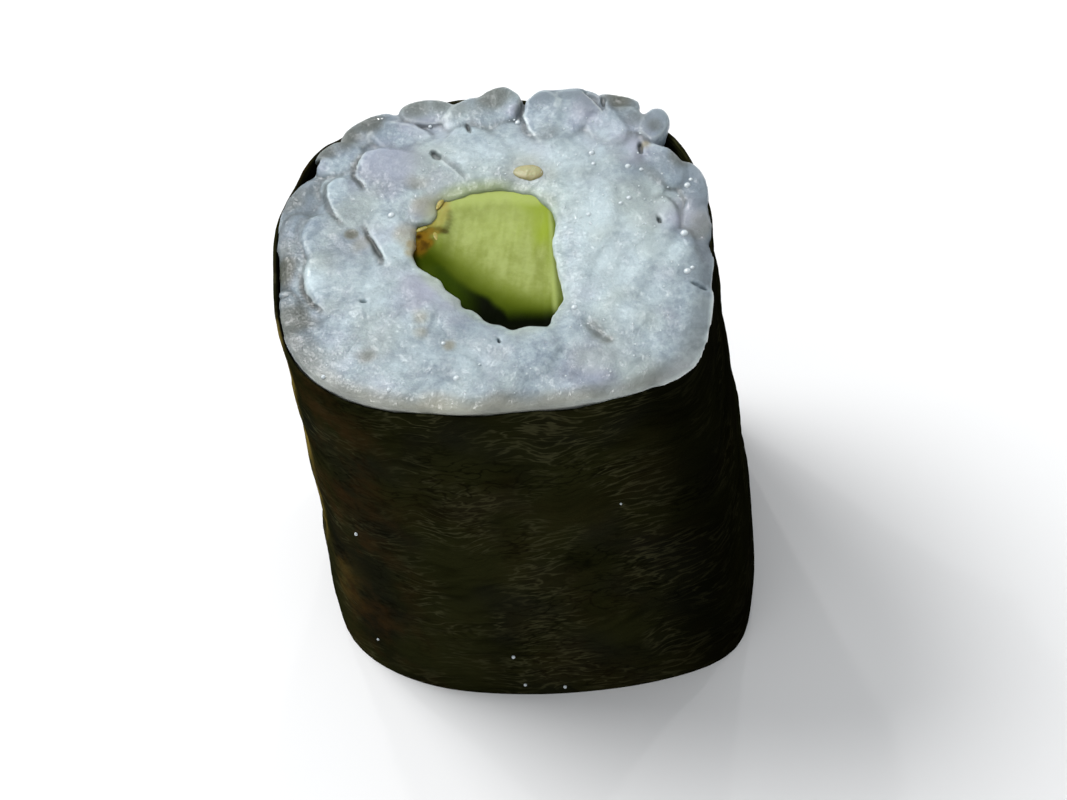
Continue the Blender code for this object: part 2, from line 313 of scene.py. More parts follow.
# Lumps of rice that lean out over the cucumber: x, y, radius, how far
LIP_LUMPS = [
    (-4.1, 2.9, 0.8, 0.12), (-2.7, 4.5, 1, 0.3), (4.2, 0.2, 1.1, 0.18), (-3.5, -2.8, 0.8, 0.45),
    (-1.9, -4.2, 0.8, 0.4), (-0.5, -5.8, 0.8, 0.45), (1, -6.9, 0.7, 0.35), (3, -7.1, 0.9, 0.3),
    (4.6, -2, 0.8, 0.2),
]


def near_line(x, y, x0, y0, x1, y1):
    """The share of the way along a line that each point lies beside, and how far off the line it is."""
    dx, dy = x1 - x0, y1 - y0
    share = np.clip(((x - x0) * dx + (y - y0) * dy) / (dx * dx + dy * dy), 0, 1)
    return share, np.hypot(x - x0 - share * dx, y - y0 - share * dy)


def crevice_distance(x, y, z, cut):
    """Signed distance to the slits, scaled down with depth, and how dark the painted shade in the nearest
    is.
    """
    nearest = np.full(x.shape, 9.0)
    darkness = np.zeros(x.shape)
    ragged = noise(x, y, 0, 0.6, 15)
    for *line, width, depth, dark in CREVICES:
        share, away = near_line(x, y, *line)
        ends = 0.35 + 0.65 * np.sqrt(np.clip(4 * share * (1 - share), 0, 1))
        side = away - width / 2 * ends * (1 + 0.5 * ragged)
        distance = np.maximum(side, -((z - cut) / depth + 1) * 0.4)
        darkness = np.where(distance < nearest, dark, darkness)
        nearest = np.minimum(distance, nearest)
    return nearest, darkness


def ledges(x, y):
    """How far the stepped edges of grains lower the cut beside them, how dark the painted shadow at the
    foot of a step is and how bright the painted highlight on its edge."""
    x, y = x + 0.12 * noise(x, y, 1, 0.9, 16), y + 0.12 * noise(x, y, 2, 0.9, 17)
    lower, dark, bright = (np.zeros(x.shape) for _ in range(3))
    for corners, drop, reach, shadow, light in LEDGES:
        nearest = np.full(x.shape, 99.0)
        outside = np.zeros(x.shape, bool)
        place = np.zeros(x.shape)
        for k, ((x0, y0), (x1, y1)) in enumerate(zip(corners, corners[1:])):
            share, away = near_line(x, y, x0, y0, x1, y1)
            closer = away < nearest
            nearest = np.minimum(away, nearest)
            outside = np.where(closer, (x - x0) * (y1 - y0) > (y - y0) * (x1 - x0), outside)
            place = np.where(closer, (k + share) / (len(corners) - 1), place)
        taper = np.sqrt(np.clip(5 * place * (1 - place), 0, 1))
        lower = np.maximum(lower, drop * taper * ease(1 - nearest / np.where(outside, reach, 0.12)))
        foot = ease(1.25 - nearest / np.where(outside, 0.5, 0.1))
        dark = np.maximum(dark, shadow * taper * foot)
        edge = ease(1.1 - np.abs(np.where(outside, -2, 1) * nearest - 0.13) / 0.12)
        bright = np.maximum(bright, light * taper * edge)
    return lower, dark, bright


def direction(heading, tilt):
    """A unit vector from two angles in degrees."""
    heading, tilt = math.radians(heading), math.radians(tilt)
    level = math.cos(tilt)
    return np.array([math.cos(heading) * level, math.sin(heading) * level, math.sin(tilt)])


def pack_grains(count, seed, leading):
    """Grains pressed into the ring between nori and cucumber, as arrays: middle, long axis, length,
    width, rise (how far over the knife's plane each may stand) and white. Heights are measured from
    the cut face, so one packing serves either end."""
    chance = np.random.default_rng(seed)
    fixed = len(leading)
    total = fixed + count
    middle, axis = np.zeros((2, total, 3))
    length, width, rise, white = np.zeros((4, total))
    for i, (x, y, heading, tilt, long, wide, over, whiteness) in enumerate(leading):
        axis[i] = direction(heading, tilt)
        half = math.hypot(long / 2 * axis[i][2], wide / 2 * math.cos(math.radians(tilt)))
        middle[i] = x, y, over - half * CUT_SHARE
        length[i], width[i], rise[i], white[i] = long, wide, over, whiteness
    angle = chance.uniform(0, FULL_TURN, count)
    out = sheet_inside.radius(angle, NORI_EDGE) * np.sqrt(chance.uniform(0.12, 0.9, count))
    depth = chance.uniform(0.3, PACKED_DEPTH, count)
    middle[fixed:] = join(out * np.cos(angle), out * np.sin(angle), -depth)
    loose = chance.normal(size=(count, 3)) * (1, 1, 0.55)
    axis[fixed:] = loose / np.linalg.norm(loose, axis=1, keepdims=True)
    length[fixed:] = GRAIN_LENGTH * chance.uniform(0.82, 1.15, count)
    width[fixed:] = GRAIN_WIDTH * chance.uniform(0.85, 1.12, count)
    proud = chance.uniform(0, 1, count) < 0.2
    rise[fixed:] = np.where(proud, chance.uniform(0, 0.07, count), chance.uniform(-0.1, 0, count))
    rise[fixed:] -= LOOSE_DEPTH * looseness(middle[fixed:, 0], middle[fixed:, 1])
    white[fixed:] = np.clip(chance.normal(0.6, 0.14, count), 0.05, 1)

    beads = np.array([-0.62, 0, 0.62])  # places along the half length
    reach = (length - width * 0.8) / 2
    radius = np.repeat(width * 0.42, len(beads))
    owner = np.repeat(np.arange(total), len(beads))
    for _ in range(70):
        places = middle[:, None] + axis[:, None] * (beads[:, None] * reach[:, None, None])
        flat = places.reshape(-1, 3)
        x, y, z = flat.T
        apart = flat[:, None] - flat
        distance = np.linalg.norm(apart, axis=2) + 1e-6
        overlap = np.clip(radius[:, None] + radius - distance, 0, None)
        overlap[owner[:, None] == owner] = 0
        push = (apart / distance[..., None] * overlap[..., None]).sum(axis=1) * 0.35

        bearing = np.arctan2(y, x)
        edge = sheet_inside.radius(bearing, NORI_EDGE) - radius * 0.85
        beyond = np.clip(np.hypot(x, y) - edge, 0, None)
        push[:, :2] -= beyond[:, None] * join(np.cos(bearing), np.sin(bearing))
        aside = flat[:, :2] - STICK_MIDDLE
        within = np.clip(radius * 0.8 - stick_distance(x, y), 0, None)
        push[:, :2] += within[:, None] * aside / (np.hypot(*aside.T) + 1e-6)[:, None]
        push[:, 2] -= np.clip(z + 0.35, 0, None) * 0.5
        push[:, 2] += np.clip(-PACKED_DEPTH - z, 0, None) * 0.5

        push = push.reshape(total, len(beads), 3)
        middle[fixed:] += push.mean(axis=1)[fixed:]
        turn = (push * beads[:, None]).sum(axis=1) / np.maximum(reach, 0.5)[:, None]
        axis[fixed:] += (turn * 0.7)[fixed:]
        axis /= np.linalg.norm(axis, axis=1, keepdims=True)
    return middle, axis, length, width, rise, white


def lip_gap(x, y, seed):
    """How far the cut rice keeps clear of the cucumber: below 0 it leans out over it."""
    lip = 0.16 * noise(x, y, 0, 1.5, seed + 4) + 0.14 * noise(x, y, 0, 0.7, seed + 6) - 0.12
    lip = lip + 0.14 * ease(y - 3.4)
    pocket = ease((2.15 - y) / 0.35) * ease((y + 0.2) / 2.4) * ease((-3.6 - x) / 0.5)
    lip = lip + 0.85 * pocket + 0.4 * np.exp(-(((x + 3.9) / 0.5) ** 2 + ((y - 3.8) / 0.7) ** 2))
    for lump_x, lump_y, wide, over in LIP_LUMPS:
        lip = lip - over * np.exp(-((x - lump_x) ** 2 + (y - lump_y) ** 2) / wide**2)
    return lip


def grain_end(grains, top, voxel, seed):
    """One end of the rice as points, faces and layers of looks: the grains' smooth union over a packed
    bed, cut by the knife, the sheet and the cucumber."""
    middle, axis, length, width, rise, white = grains
    low = np.array([RICE_LOW[0] - 0.8, RICE_LOW[1] - 0.8, -CAP_DEPTH - 2 * voxel])
    high = np.array([RICE_HIGH[0] + 0.8, RICE_HIGH[1] + 0.8, 1.2])
    shape = np.ceil((high - low) / voxel).astype(int)
    ticks = [low[k] + voxel * np.arange(shape[k]) for k in range(3)]
    weight, squares, whiteness, depth, leading = np.zeros((5, *shape), np.float32)
    grid_x, grid_y = np.meshgrid(*ticks[:2], indexing="ij")
    cut = cut_height(grid_x, grid_y) - CUT_HEIGHT if top else np.zeros(grid_x.shape)
    shown = len(LEADING_GRAINS) if top else 0
    chance = np.random.default_rng(seed)
    for i in range(len(middle)):
        reach = length[i] / 2 + 0.8
        first = np.maximum(np.floor((middle[i] - reach - low) / voxel).astype(int), 0)
        last = np.minimum(np.ceil((middle[i] + reach - low) / voxel).astype(int), shape)
        if np.any(last <= first):
            continue
        window = tuple(slice(a, b) for a, b in zip(first, last))
        x, y, z = np.meshgrid(*(tick[part] for tick, part in zip(ticks, window)), indexing="ij")
        p = join(x, y, z) - middle[i]
        across = np.cross(axis[i], chance.normal(size=3))
        across /= np.linalg.norm(across)
        a = p @ axis[i]
        b = p @ across + 0.035 * chance.uniform(-1, 1) * a * a
        c = p @ np.cross(axis[i], across)
        half = np.array([length[i], width[i], width[i] * GRAIN_FLATNESS]) / 2
        k0 = np.sqrt((a / half[0]) ** 2 + (b / half[1]) ** 2 + (c / half[2]) ** 2) + 1e-6
        k1 = np.sqrt((a / half[0] ** 2) ** 2 + (b / half[1] ** 2) ** 2 + (c / half[2] ** 2) ** 2)
        whole = k0 * (k0 - 1) / (k1 + 1e-6)
        lean = chance.normal(0, 0.03, 2) if top else np.zeros(2)
        if i < shown:
            place = middle[i][:2]
            lean = place / np.hypot(*place) * SHINGLE * max(looseness(*place) * 0.7, 0.35 * (place[0] < -5))
        knife = z - cut[window[0], window[1], None] - (rise[i] if top else 0)
        knife = knife - p[..., 0] * lean[0] - p[..., 1] * lean[1]
        field = smooth_max(whole, knife, CUT_SOFTNESS)
        part = np.exp(-np.clip(field, -1.2, 1.5) / FUSE).astype(np.float32)
        weight[window] += part
        squares[window] += part * part
        whiteness[window] += part * white[i]
        depth[window] += part * np.clip(-whole, 0, 1.5)
        leading[window] += part * (i < shown)

    x, y, z = np.meshgrid(*ticks, indexing="ij")
    side = wall_distance(x, y, CUT_HEIGHT + z if top else -z, top)
    bed = z - cut[..., None] + BED_DEPTH + BED_WAVE * noise(x, y, 0, 1.9, seed + 1)
    bed = bed + LOOSE_DEPTH * 1.3 * looseness(x, y) + 0.03 * noise(x, y, 0, 0.8, seed + 5)
    inset = RIM_BED_INSET * backness(np.arctan2(y, x)) if top else 0.6
    bed = smooth_max(bed, side + inset, 0.5)
    part = np.exp(-np.clip(bed, -1.2, 1.5) / FUSE)
    weight += part
    squares += part * part
    whiteness += part * 0.55
    field = -FUSE * np.log(weight)
    field += 0.03 * noise(x, y, z, 1.2, seed + 2) + 0.03 * noise(x, y, z, 0.5, seed + 3)
    field += 0.05 * looseness(x, y) * noise(x, y, z, 0.9, seed + 8)
    field = smooth_max(field, side, 0.2)
    lip = 0.06
    if top:
        lower = ledges(grid_x, grid_y)[0][..., None]
        step = z - cut[..., None] + (lower * 1.6 - 0.3)
        field = smooth_max(field, np.where(lower > 0.001, step, -9), 0.08)
        lip = np.where(CUT_HEIGHT + z > STICK_HIGH[2] + 0.08, lip_gap(x, y, seed), 0.04)
        field = smooth_max(field, -crevice_distance(x, y, z, cut[..., None])[0], 0.2)
    field = smooth_max(field, lip - stick_distance(x, y), 0.3 if top else 0.15)
    field = smooth_max(field, -CAP_DEPTH - z, 0.02)
    if not top:
        field = smooth_max(field, z, 0.05)

    points, faces = surface(field, low, voxel)
    shares = join(whiteness / weight, 1 - squares / weight**2, depth / weight, leading / weight)
    read = sample(shares, low, voxel, points)
    points[:, 2] = CUT_HEIGHT + points[:, 2] if top else -points[:, 2]
    faces = faces if top else faces[:, ::-1]
    return points, faces, rice_layers(points, faces, read, top, seed)


def rice_layers(points, faces, read, top, seed):
    """Looks are whiteness, painted shade in creases, slits and at the foot of steps, and stains; tints are
    green, clear and warm, the warm partly painted light; tones are lilac, painted light along the thin
    edges of grains, and dark clear grains with painted shade."""
    x, y, z = points.T
    white, shared, deep, lead = read.T
    core = ease(deep / 0.7)
    apart = looseness(x, y)
    white = np.clip(white * (0.92 + 0.08 * core), 0, 1)
    between = ease(1.3 - np.abs(lead - 0.5) / 0.35)
    # painted shade in the creases between grains, most where the rim's whole grains meet the rest
    crease = ease(shared / 0.75) * (1 - 0.5 * core) * (0.3 + 0.6 * between * apart)
    if not top:
        looks = join(white, crease, 0)
        return {"looks": looks, "tints": 0 * looks, "tones": 0 * looks}
    white = np.clip(white + blots(points, WHITES) - blots(points, GREYS), 0, 1)
    level = cut_height(x, y)
    slit, dark = crevice_distance(x, y, z, level)
    # painted shade in the slits, darker the deeper they go
    crease = np.maximum(crease, ease(1 - slit / 0.2) * dark * (0.7 + 0.5 * ease((level - z - 0.05) / 0.3)))
    _, foot, bright = ledges(x, y)
    # painted shadow at the foot of each step
    crease = np.maximum(crease, foot)
    edge = edge_light(points, faces)
    # painted light along the thin edges of grains, the sheet's right brink and the rice's edge beside the
    # cucumber
    thin = ease(1 - np.abs(deep - 0.11) / 0.09) * ease((lead - 0.6) / 0.25)
    thin = thin * (0.25 + 0.75 * apart) * ease(0.55 + 0.8 * noise(x, y, 0, 1.6, seed + 7))
    brink = ease(1 + wall_distance(x, y, z, True) / 0.35) * ease((np.cos(np.arctan2(y, x)) - 0.3) / 0.4)
    thin = np.maximum(thin * 0.45, 0.8 * brink)
    beside = ease(1.4 - stick_distance(x, y) / 0.8) * ease(-0.4 - y)
    beside = beside * ease((z - CUT_HEIGHT + 0.75) / 0.2)
    thin = np.maximum(thin, 0.9 * edge * beside)
    edge = np.maximum(edge * (0.5 + 0.5 * beside), thin) * (1 - 0.7 * ease(1.3 - slit / 0.3))
    edge = np.maximum(edge, bright) * (1 - 0.8 * np.minimum(foot, 1))
    # painted light: steep edges made whiter
    white = np.clip(white + 0.3 * edge * (1 - crease), 0, 1)
    thin = np.maximum(thin, bright * (1 - foot))
    green, clear, warm = rice_tints(x, y)
    stain, lilac, dim = (blots(points, places) for places in (STAINS, LILACS, DIMS))
    tints = join(green, clear * (1 - 0.9 * edge), warm)
    return {"looks": join(white, crease, stain), "tints": tints, "tones": join(lilac, thin, dim)}


def face_normals(points, faces):
    corners = points[faces]
    return np.cross(corners[:, 2] - corners[:, 0], corners[:, 3] - corners[:, 1])


def surface(field, low, voxel):
    """The zero surface of a field of samples, as points and four-sided faces that look outwards."""
    grid = openvdb.FloatGrid(float(field.max()))
    grid.copyFromArray(np.ascontiguousarray(field, dtype=np.float32))
    points, quads = grid.convertToQuads(isovalue=0.0)
    points, faces = points.astype(float) * voxel + low, quads.astype(int)
    volume = (points[faces].mean(axis=1) * face_normals(points, faces)).sum()
    return points, faces[:, ::-1] if volume < 0 else faces


def sample(values, low, voxel, points):
    """Reads a field of vectors at points between its samples."""
    place = (points - low) / voxel
    base = np.clip(np.floor(place).astype(int), 0, np.array(values.shape[:3]) - 2)
    part = np.clip(place - base, 0, 1)
    total = np.zeros((len(points), values.shape[3]))
    for corner in np.ndindex(2, 2, 2):
        share = np.prod(np.where(corner, part, 1 - part), axis=1)
        index = base + corner
        total += values[index[:, 0], index[:, 1], index[:, 2]] * share[:, None]
    return total


# Where the toasted sesame and the cucumber's juice have stained the rice: x, y, radius, strength
STAINS = [
    (-5.5, 0.9, 1.2, 0.7), (-4.6, 3.6, 1.2, 0.55), (-5.6, 5.3, 0.9, 0.3), (-3.9, -6.2, 0.7, 0.6),
    (-3.7, -7.3, 0.6, 0.5), (-1.8, -8.3, 0.5, 0.7), (-7, -9.3, 0.8, 0.35), (-9.4, 1, 0.4, 1),
    (9.4, 8.7, 0.4, 0.9), (-8.6, 0.1, 0.7, 0.4), (13.4, 2, 1.4, 0.25), (-5.25, 0.3, 0.55, 1.2),
    (-5.3, -0.5, 0.45, 1), (-5.2, 1.3, 0.5, 1), (1.7, 6.3, 1.7, 0.22), (-3, -13, 1.4, 0.2),
]


def blots(points, places):
    """How strongly round blots (x, y, radius, strength) with ragged edges cover each point."""
    amount = np.zeros(len(points))
    ragged = 0.3 * noise(points[:, 0], points[:, 1], 0, 0.9, 33)
    for x, y, radius, strength in places:
        away = np.hypot(points[:, 0] - x, points[:, 1] - y) / radius + ragged
        amount = np.maximum(amount, strength * ease(1.3 - away))
    return amount


# Where the rice is mashed whiter, or clearer and greyer: x, y, radius, strength
WHITES = [
    (7.6, 1, 4, 0.28), (5.6, 5.4, 2.6, 0.3), (3, 6.6, 2.2, 0.25), (-1.4, 8, 2, 0.3),
    (-8.2, -4.2, 3, 0.1), (8, -4.6, 3, 0.15), (-11.3, 7.8, 1.7, 0.3), (-5, -8, 2.4, 0.2),
    (3.4, 11.4, 1.8, 0.25), (-11, 7.4, 1.2, 0.2),
]
GREYS = [
    (-5, -11, 5, 0.12), (3, -11.4, 4, 0.2), (-10.4, 0.8, 3.6, 0.45), (-10.8, -5.6, 3.2, 0.3),
    (11.6, -5.6, 3, 0.15), (-13.6, -1.8, 1.4, 0.8), (-13.2, 3.4, 1.8, 0.35), (3.2, 11.4, 3, 0.05),
    (6, -6, 1.8, 0.25), (6.6, 12.8, 1.6, 0.4), (9.9, 10.3, 1.6, 0.4), (10.6, 6.8, 2.4, 0.55),
    (7.4, -10.2, 1.8, 0.6), (13.2, 2, 1.8, 0.9), (3.4, -9.2, 2.2, 0.32), (-7.3, 6.8, 3, 0.5),
    (-9.6, 9.4, 2.4, 0.35), (-5.4, 12.4, 2.2, 0.4), (-1.2, 12.4, 1.8, 0.3), (-1.6, 10, 1.8, 0.2),
]
LILACS = [
    (-7.3, 6.8, 2.8, 0.7), (-4.4, 5.4, 1.6, 0.6), (-4.8, 3, 1.1, 0.7), (-5.4, 10.9, 1.8, 0.5),
    (-4.2, -3.9, 1.8, 0.7), (-2, -5.6, 1.6, 0.5), (-6.4, -12, 1.4, 0.5), (7.6, -9.2, 2, 0.45),
    (8.6, 8.6, 1.6, 0.6), (11.6, 2.6, 1.6, 0.6), (5.6, 11.6, 1.8, 0.5), (0.4, 12, 0.8, 0.8),
]

# Clear dark grains over the sheet's edge, darkened further with painted shade, and small marks: x, y,
# radius, strength
DIMS = [
    # the left side
    (-13.8, -1.7, 1.5, 1), (-13.7, -0.2, 1, 0.6), (-13.6, 3.4, 1.5, 0.2), (-13.7, 4.3, 1.3, 0.6),
    (-12.5, 5, 0.8, 0.25), (-12.5, 8.7, 1.2, 0.8), (-11.1, 9.8, 1.4, 0.85), (-12.8, -6.3, 2.2, 0.85),
    (-13.3, -4.9, 1, 0.35), (-11.4, -9.5, 1.7, 0.5),
    # the back
    (-9.5, 11, 1.2, 0.8), (-6.6, 12.6, 1.4, 0.6), (-4.8, 12.8, 1.1, 0.5), (-3.5, 12.4, 0.8, 0.3),
    (-1.4, 13.2, 1.4, 0.7), (2.6, 9.6, 1, 0.25), (7.4, 12.7, 1.3, 0.95), (8.6, 11.3, 1, 0.35),
    (9.9, 10.4, 0.7, 0.5),
    # the right side and the front
    (11.7, 7.8, 1.1, 0.7), (10.6, 7, 1.4, 0.2), (13.5, 1.6, 1.2, 0.3), (10.4, -11, 2, 0.3),
    # marks of other things: stains, and along the groove at the front right partly painted shade
    (-9.4, 1, 0.5, 0.85), (9.4, 8.6, 0.3, 0.3), (7.2, -6.8, 0.65, 0.5), (7.65, -7.3, 0.65, 0.7),
    (8.15, -7.75, 0.6, 0.7), (-3.9, -6.2, 0.5, 0.25), (-1.8, -8.3, 0.4, 0.3), (-7, -9.3, 0.7, 0.65),
    (-5.6, 5, 0.45, 0.3),
]


def rice_tints(x, y):
    """Green from the cucumber beside it, grey clearness of the rim's grains, and the warm grey of the
    pressed front edge, lightened with painted light where that slope is turned from the key light."""
    away = stick_distance(x, y)
    behind = ease((y - 1) / 3)
    green = ease(1 - away / (0.7 + 0.6 * behind)) * (0.3 + 0.7 * behind)
    green = green * (1 - 0.5 * ease((x + 0.5) / 2))
    green = np.maximum(green, 0.22 * behind * ease(1 - away / 3.2))
    ragged = 0.5 * noise(x, y, 0, 1.8, 34)
    clear = ease(1 - (from_rim(x, y) + ragged) / 1.9)
    warm = ease(1.3 - (from_rim(x, y) + 0.6 * ragged) / 1.3) * ease(-0.2 - np.sin(np.arctan2(y, x)))
    return green, clear, warm


def edge_light(points, faces):
    """How steep the surface is, for light painted on the round edges of grains."""
    normal = face_normals(points, faces)
    total = np.zeros((len(points), 3))
    for k in range(4):
        np.add.at(total, faces[:, k], normal)
    steep = 1 - np.abs(total[:, 2]) / np.maximum(np.linalg.norm(total, axis=1), 1e-9)
    return ease((steep - 0.12) / 0.4)


# ---- materials


class Nodes:
    """A short way to build a Principled material's node tree."""

    def __init__(self, name, **values):
        self.material = bpy.data.materials.new(name)
        self.material.use_nodes = True
        self.tree = self.material.node_tree
        self.shader = self.tree.nodes["Principled BSDF"]
        for key, value in values.items():
            self.shader.inputs[key.replace("_", " ")].default_value = value
        self.place = self.add("ShaderNodeTexCoord").outputs["Object"]
        self.colour = None

    def add(self, kind, inputs=(), **settings):
        """A node with its settings, and its inputs as pairs of a socket and a number, colour or output."""
        node = self.tree.nodes.new(kind)
        for key, value in settings.items():
            setattr(node, key, value)
        for socket, value in inputs:
            self.feed(node.inputs[socket], value)
        return node

    def feed(self, socket, value):
        if isinstance(value, bpy.types.NodeSocket):
            self.tree.links.new(value, socket)
        else:
            socket.default_value = (*value, 1) if isinstance(value, tuple) else value

    def noise(self, scale, detail=2, roughness=0.5, vector=None):
        inputs = [("Vector", vector or self.place), ("Scale", scale), ("Detail", detail)]
        return self.add("ShaderNodeTexNoise", inputs + [("Roughness", roughness)]).outputs["Fac"]

    def math(self, operation, a, b=0, clamp=False):
        node = self.add("ShaderNodeMath", ((0, a), (1, b)), operation=operation, use_clamp=clamp)
        return node.outputs[0]

    def times(self, a, b, clamp=False):
        return self.math("MULTIPLY", a, b, clamp)

    def span(self, value, *ends):
        """A smooth step from one number to another (0 and 1 if not given) between two values."""
        names = "From Min", "From Max", "To Min", "To Max"
        inputs = [("Value", value), *zip(names, ends)]
        return self.add("ShaderNodeMapRange", inputs, interpolation_type="SMOOTHSTEP").outputs["Result"]

    def mix(self, share, a, b):
        return self.add("ShaderNodeMix", ((0, share), (6, a), (7, b)), data_type="RGBA").outputs[2]

    def cover(self, share, tint):
        """Lays a colour over those before it."""
        self.colour = self.mix(share, self.colour, tint)

    def layer(self, name):
        return self.add("ShaderNodeVertexColor", layer_name=name).outputs["Color"]

    def read(self, name):
        """One of the piece's own layers as three numbers."""
        return self.add("ShaderNodeSeparateColor", [(0, self.layer(name))]).outputs[:3]

    def bump(self, height, distance, strength=1, under=None):
        inputs = [("Strength", strength), ("Distance", distance), ("Height", height)]
        if under:
            inputs.append(("Normal", under))
        return self.add("ShaderNodeBump", inputs).outputs["Normal"]

    def use(self, **outputs):
        """Connects the shader's sockets, and the colour."""
        self.feed(self.shader.inputs["Base Color"], self.colour)
        for socket, output in outputs.items():
            self.feed(self.shader.inputs[socket.replace("_", " ")], output)
        return self.material


def rice_material():
    n = Nodes(
        "rice", Roughness=0.4, IOR=1.38, Subsurface_Weight=0.9, Subsurface_Radius=(1, 0.97, 0.93),
        Subsurface_Scale=0.0009, Coat_Weight=0.45, Coat_Roughness=0.05,
    )
    white, crease, stain = n.read("looks")
    green, clear, warm = n.read("tints")
    lilac, thin, dim = n.read("tones")
    amount = n.math("ADD", white, n.span(n.noise(420), 0.3, 0.7, -0.17, 0.17))
    amount = n.math("ADD", amount, n.span(n.noise(2100, 4, 0.65), 0.35, 0.65, -0.17, 0.17))
    amount = n.math("SUBTRACT", amount, n.times(clear, 0.35), clamp=True)
    lilac = n.math("ADD", n.times(lilac, 0.7), n.span(n.noise(300, 1), 0.5, 0.75, 0, 0.3))
    n.colour = n.mix(amount, (0.205, 0.262, 0.315), (0.515, 0.615, 0.645))
    n.cover(lilac, (0.38, 0.39, 0.48))
    n.cover(n.span(n.noise(260, 1), 0.5, 0.72, 0, 0.4), (0.43, 0.49, 0.44))
    n.cover(n.times(clear, 0.4, clamp=True), (0.145, 0.17, 0.18))
    n.cover(n.times(green, 0.85), (0.38, 0.45, 0.22))
    # warm beige of the pressed front edge, lightened as painted light
    n.cover(n.times(warm, 0.8), (0.42, 0.41, 0.33))
    # painted shade in creases, slits and at the foot of steps
    n.cover(n.times(crease, 0.9, clamp=True), (0.04, 0.05, 0.048))
    n.cover(n.times(stain, 0.75), (0.3, 0.255, 0.14))
    # dark clear grains at the rim, partly painted shade, and small marks
    n.cover(dim, (0.075, 0.083, 0.066))
    # painted light along the thin edges of grains
    n.cover(n.times(thin, n.math("SUBTRACT", 0.6, n.times(dim, 0.45)), True), (0.6, 0.66, 0.64))
    fine = n.bump(n.noise(3200, 2, 0.6), 0.0001, 0.6)
    return n.use(Normal=fine, Coat_Normal=n.bump(n.noise(1700), 0.00028))


def bead_material():
    n = Nodes("bead", Roughness=0.2, Transmission_Weight=0.25, Coat_Weight=1, Coat_Roughness=0.05)
    n.colour = (0.72, 0.8, 0.84)
    return n.use()


def nori_material():
    n = Nodes("nori", Roughness=0.5, Specular_IOR_Level=0)
    height, rim_light, left = n.read("looks")
    # painted light and shade that follow the sheet's relief: darker in its hollows, lighter on its rises
    n.colour = n.mix(n.span(height, 0.25, 0.8), (0.0068, 0.0072, 0.0021), (0.0155, 0.016, 0.005))
    n.cover(n.span(n.noise(150), 0.42, 0.7, 0, 0.6), (0.0088, 0.0088, 0.0066))
    folds, furrows = (n.noise(1, 2, 0.55, n.layer(name)) for name in ("wrinkles", "creases"))
    ridge, valley_shade = (n.math("ABSOLUTE", n.math("SUBTRACT", lines, 0.5)) for lines in (folds, furrows))
    # painted highlights along the fine folds, and painted shade along the furrows
    ridge = n.times(n.span(ridge, 0, 0.06, 0.85, 0), n.span(n.noise(210), 0.4, 0.62))
    n.cover(ridge, (0.04, 0.039, 0.018))
    valley_shade = n.times(n.span(valley_shade, 0, 0.06, 0.7, 0), n.span(n.noise(170), 0.42, 0.66))
    n.cover(valley_shade, (0.0022, 0.0022, 0.0008))
    brown = n.math("ADD", n.span(left, 0.5, 1, 0, 0.9), 0.15, clamp=True)
    n.cover(n.times(n.span(n.noise(190, 4, 0.65), 0.42, 0.72), brown), (0.03, 0.0165, 0.0058))
    # painted rim light: a patchy golden band down the sheet's left side
    n.cover(n.times(rim_light, n.span(n.noise(430, 3, 0.6), 0.34, 0.6)), (0.15, 0.11, 0.025))
    # painted shade: the right side of the sheet darkened nearly to black
    n.cover(n.span(left, 0, 0.5, 0.75, 0), (0.0006, 0.0006, 0.0002))
    fibre = n.noise(2600, 3, 0.6)
    relief = n.math("ADD", folds, n.times(furrows, 0.8))
    normal = n.bump(fibre, 0.00006, 0.7, n.bump(relief, 0.0004, 0.8))
    return n.use(Roughness=n.span(fibre, 0.3, 0.75, 0.34, 0.62), Normal=normal)


def cucumber_material():
    n = Nodes(
        "cucumber", Roughness=0.42, IOR=1.33, Specular_IOR_Level=0.01, Subsurface_Weight=0.15,
        Subsurface_Radius=(0.8, 1, 0.4), Subsurface_Scale=0.0003,
    )
    flesh, skin, bright = n.read("looks")
    pale, streak, shade = n.read("tints")
    brown, yellow, burnt = n.read("tones")
    fibre = n.math("ADD", n.times(n.noise(1500, 4, 0.65), 0.9), n.times(streak, 0.4))
    pulp = n.mix(n.span(fibre, 0.35, 0.95), (0.315, 0.365, 0.12), (0.215, 0.255, 0.06))
    n.colour = n.mix(flesh, (0.045, 0.066, 0.002), n.mix(flesh, (0.24, 0.3, 0.03), pulp))
    n.cover(bright, (0.23, 0.3, 0.02))
    # paler flesh at the back and middle, and a painted highlight along the right edge
    n.cover(pale, (0.38, 0.45, 0.14))
    n.cover(skin, (0.022, 0.04, 0.0012))
    n.cover(shade, (0.002, 0.003, 0.0006))
    toast = n.mix(n.span(n.noise(1300, 3, 0.6), 0.4, 0.66), (0.17, 0.09, 0.006), (0.085, 0.045, 0.003))
    n.cover(brown, toast)
    n.cover(n.times(yellow, n.span(n.noise(1100, 3, 0.6), 0.3, 0.55, 0.45, 1)), (0.34, 0.27, 0.065))
    n.cover(burnt, (0.03, 0.012, 0.0008))
    return n.use(Normal=n.bump(n.noise(1800, 3, 0.6), 0.00006, 0.6))


